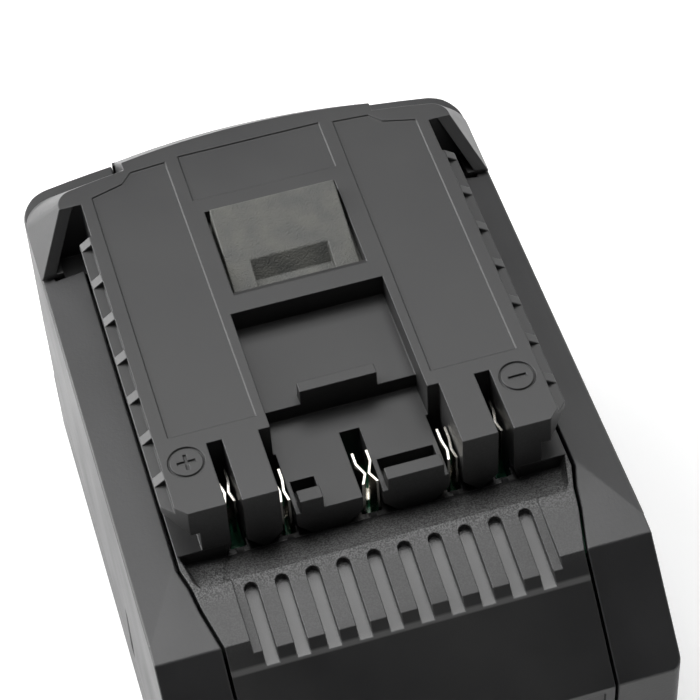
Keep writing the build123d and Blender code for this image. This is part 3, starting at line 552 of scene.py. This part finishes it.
# Latch springs: closed end turns, open turns between them
def coil_spring(node_name, piece_name, wire_mm, open_turns):
    """Round-wire spring in the box of its node."""
    low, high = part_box(node_name)
    wire = wire_mm * MM
    height = high[2] - low[2]
    centre = ((low[0] + high[0]) / 2, (low[1] + high[1]) / 2)
    coil = (high[0] - low[0]) / 2 - wire
    closed_rise = 2.1 * wire
    open_rise = (height - 2 * wire - 2 * closed_rise) / open_turns
    steps = 40
    sides = 10
    mesh = bmesh.new()
    rings = []
    for k in range(round((open_turns + 2) * steps) + 1):
        turn = k / steps
        closed = min(turn, 1) + max(turn - 1 - open_turns, 0)
        level = low[2] + wire + closed_rise * closed
        level += open_rise * min(max(turn - 1, 0), open_turns)
        around = 2 * math.pi * turn
        ring = []
        for i in range(sides):
            about = 2 * math.pi * i / sides
            out = coil + wire * math.cos(about)
            ring.append(mesh.verts.new((centre[0] + out * math.cos(around),
                                        centre[1] + out * math.sin(around),
                                        level + wire * math.sin(about))))
        rings.append(ring)
    for first, second in zip(rings, rings[1:]):
        for i in range(sides):
            j = (i + 1) % sides
            mesh.faces.new((first[i], second[i], second[j], first[j]))
    mesh.faces.new(rings[0])
    mesh.faces.new(list(reversed(rings[-1])))
    bmesh.ops.recalc_face_normals(mesh, faces=mesh.faces)
    for face in mesh.faces:
        face.smooth = len(face.verts) == 4
    piece = add_piece(mesh, piece_name, spring_wire, "latch")
    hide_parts(node_name)
    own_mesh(piece)


coil_spring("latch_spring_left", "spring_coil_left", 0.4, 3.0)
coil_spring("latch_spring_right", "spring_coil_right", 0.4, 3.0)


# Stage, light and camera
def stage_material():
    """Matt paper, white to the eye and in gloss, that keeps the shadow round the part."""
    made, tree, out = blank_material("white_paper_floor")
    path = add_node(tree, "ShaderNodeLightPath")
    seen = worked_out(tree, "MAXIMUM", path.outputs["Is Camera Ray"], path.outputs["Is Glossy Ray"])
    seen = worked_out(tree, "MAXIMUM", seen, path.outputs["Is Transmission Ray"])
    pale = add_node(tree, "ShaderNodeBsdfDiffuse", inputs={"Color": linear("#b9b9b7")})
    white = add_node(tree, "ShaderNodeBsdfDiffuse", inputs={"Color": linear("#fafafa")})
    place = add_node(tree, "ShaderNodeTexCoord").outputs["Object"]
    away = add_node(tree, "ShaderNodeVectorMath", settings={"operation": "LENGTH"})
    tree.links.new(place, away.inputs[0])
    # Far paper that the softboxes hardly reach stays white
    strength = between(tree, away.outputs["Value"], 0.16, 0.7, 0.2, 0.7)
    glow = add_node(tree, "ShaderNodeEmission", inputs={"Color": linear("#ffffff")},
                    links={"Strength": strength})
    lit = add_node(tree, "ShaderNodeAddShader")
    tree.links.new(white.outputs["BSDF"], lit.inputs[0])
    tree.links.new(glow.outputs["Emission"], lit.inputs[1])
    mix = add_node(tree, "ShaderNodeMixShader", links={"Fac": seen})
    tree.links.new(pale.outputs["BSDF"], mix.inputs[1])
    tree.links.new(lit.outputs["Shader"], mix.inputs[2])
    tree.links.new(mix.outputs["Shader"], out.inputs["Surface"])
    return made


def paper_sweep(rows, steps=64):
    """Round sheet of paper from rows of (radius, level) that rises at its rim."""
    mesh = bmesh.new()
    centre = mesh.verts.new((0.0, 0.0, rows[0][1]))
    rings = []
    for radius, level in rows:
        turns = [2 * math.pi * k / steps for k in range(steps)]
        rings.append([mesh.verts.new((radius * math.cos(t), radius * math.sin(t), level))
                      for t in turns])
    for k in range(steps):
        j = (k + 1) % steps
        mesh.faces.new((centre, rings[0][k], rings[0][j]))
        for low, high in zip(rings, rings[1:]):
            mesh.faces.new((low[k], high[k], high[j], low[j]))
    for face in mesh.faces:
        face.smooth = True
    made = bpy.data.meshes.new("floor")
    mesh.to_mesh(made)
    mesh.free()
    made.materials.append(stage_material())
    paper = bpy.data.objects.new("floor", made)
    scene.collection.objects.link(paper)


# A hair below the pack, so that the paper and the base never share a plane
paper_level = -0.0002
paper_sweep([(0.4, paper_level), (1.5, paper_level), (1.75, 0.04), (1.88, 0.12), (1.93, 0.24),
             (1.94, 0.42)])


pack_middle = Vector((0.0, 0.0, 0.05))


def soft_light(name, place, width, height, watts):
    """Rectangular softbox aimed at the middle of the pack."""
    data = bpy.data.lights.new(name, "AREA")
    data.shape = "RECTANGLE"
    data.size = width
    data.size_y = height
    data.energy = watts
    lamp = bpy.data.objects.new(name, data)
    lamp.location = place
    lamp.rotation_euler = (pack_middle - Vector(place)).to_track_quat("-Z", "Y").to_euler()
    scene.collection.objects.link(lamp)


soft_light("softbox_behind", (0.0, 0.42, 0.85), 0.8, 0.4, 3.0)
soft_light("softbox_overhead", (0.05, 0.25, 1.1), 0.7, 0.5, 4.2)
soft_light("softbox_top", (0.0, -0.08, 1.2), 0.6, 0.4, 1.0)
soft_light("softbox_left", (-0.9, 0.4, 0.45), 0.5, 0.5, 9.0)
soft_light("softbox_upper_left", (-0.65, 0.3, 0.85), 0.5, 0.5, 4.0)
soft_light("softbox_right", (0.8, 0.35, 0.7), 0.5, 0.5, 3.0)
soft_light("softbox_low_rear", (-0.6, 0.85, 0.25), 0.6, 0.4, 5.0)

world = bpy.data.worlds.new("dim_studio_surround")
world.use_nodes = True
surround = world.node_tree.nodes["Background"]
surround.inputs["Color"].default_value = linear("#e6e6e6")
surround.inputs["Strength"].default_value = 0.008
scene.world = world

# Camera fitted to the straight edges of the rail plate: focal length and width in pixels
focal_pixels = 2616.8
frame_pixels = 700.0
sensor_mm = 36.0
camera_data = bpy.data.cameras.new("photo_camera")
camera_data.sensor_fit = "HORIZONTAL"
camera_data.sensor_width = sensor_mm
camera_data.lens = sensor_mm * focal_pixels / frame_pixels
camera_data.clip_start = 0.02
camera_data.clip_end = 10.0
camera = bpy.data.objects.new("photo_camera", camera_data)
forward = Vector((0.1471, 0.6146, -0.7750)).normalized()
up = Vector((0.9582, -0.2831, -0.0426)).normalized().cross(forward).normalized()
right = forward.cross(up)
turn = Matrix((right, up, -forward)).transposed().to_4x4()
camera.matrix_world = Matrix.Translation((-0.053406, -0.241575, 0.362800)) @ turn
scene.collection.objects.link(camera)
scene.camera = camera
scene.view_settings.view_transform = "Standard"
